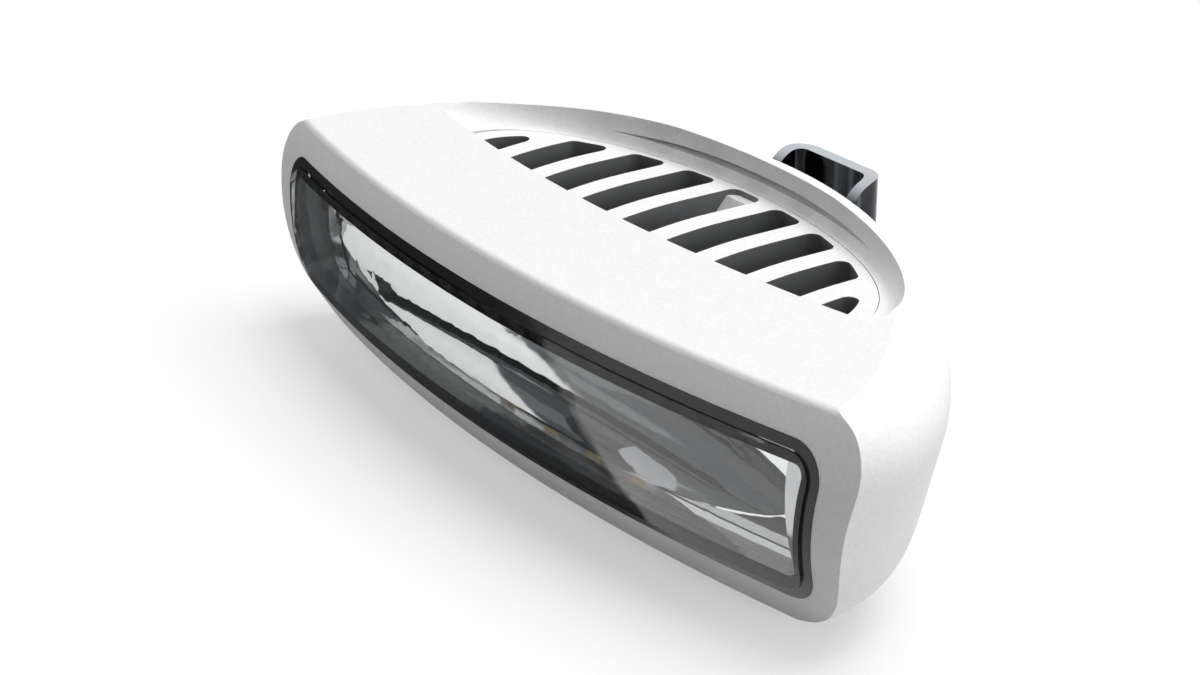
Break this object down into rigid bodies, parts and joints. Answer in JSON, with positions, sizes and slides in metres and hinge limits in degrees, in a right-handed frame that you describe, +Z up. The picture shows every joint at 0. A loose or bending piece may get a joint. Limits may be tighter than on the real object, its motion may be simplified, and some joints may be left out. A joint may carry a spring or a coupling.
{
  "type": "floodlight",
  "caption": "Compact LED floodlight with a wide bowed lens, a ribbed cooling grille in its top and a tilting U bracket for one bolt.",
  "frame": {"origin": "centre of the bracket's mounting hole, on the back face of its plate", "axes": "-Y is the way the light shines, +Y points into the surface that the bracket is bolted to, +X runs across the lamp, +Z is up"},
  "size_m": [0.1804, 0.082, 0.0476],
  "materials": {
    "white_casting": "satin",
    "screw_steel": "satin",
    "black_rubber": "matte",
    "clear_lens": "gloss",
    "dark_trim": "matte",
    "mirror_coat": "polished",
    "board_white": "satin",
    "pad_grey": "matte",
    "led_yellow": "gloss",
    "connector_white": "matte",
    "board_green": "satin",
    "inductor_grey": "matte",
    "capacitor_metal": "satin",
    "gland_plastic": "matte",
    "bush_plastic": "satin",
    "bracket_steel": "polished"
  },
  "bodies": {
    "mount": {"bracket": "bracket_steel", "pivot_bolt": "screw_steel", "pivot_washers": "screw_steel", "lock_nut": "screw_steel"},
    "head": {"outer_shell": "white_casting", "heat_sink": "white_casting", "base_plate": "white_casting", "base_screws": "screw_steel", "rear_screws": "screw_steel", "chamber_seal": "black_rubber", "lens_gasket": "black_rubber", "lens": "clear_lens", "lens_frame": "dark_trim", "reflector": "mirror_coat", "led_shroud": "mirror_coat", "led_board": "board_white", "thermal_pad": "pad_grey", "led_emitters": "led_yellow", "board_connector": "connector_white", "board_screws": "screw_steel", "driver_tray": "dark_trim", "driver_board": "board_green", "driver_inductor": "inductor_grey", "driver_capacitor": "capacitor_metal", "driver_chips": "dark_trim", "gland_oring": "black_rubber", "gland_body": "gland_plastic", "gland_seal": "black_rubber", "gland_cap": "gland_plastic", "vent_plug": "gland_plastic", "pivot_bushes": "bush_plastic"}
  },
  "joints": [
    {"name": "head_tilt", "type": "hinge", "parent": "mount", "child": "head", "pos_m": [0, -0.0113, -0.021], "axis": [1, 0, 0], "range_deg": [-8, 85]}
  ]
}
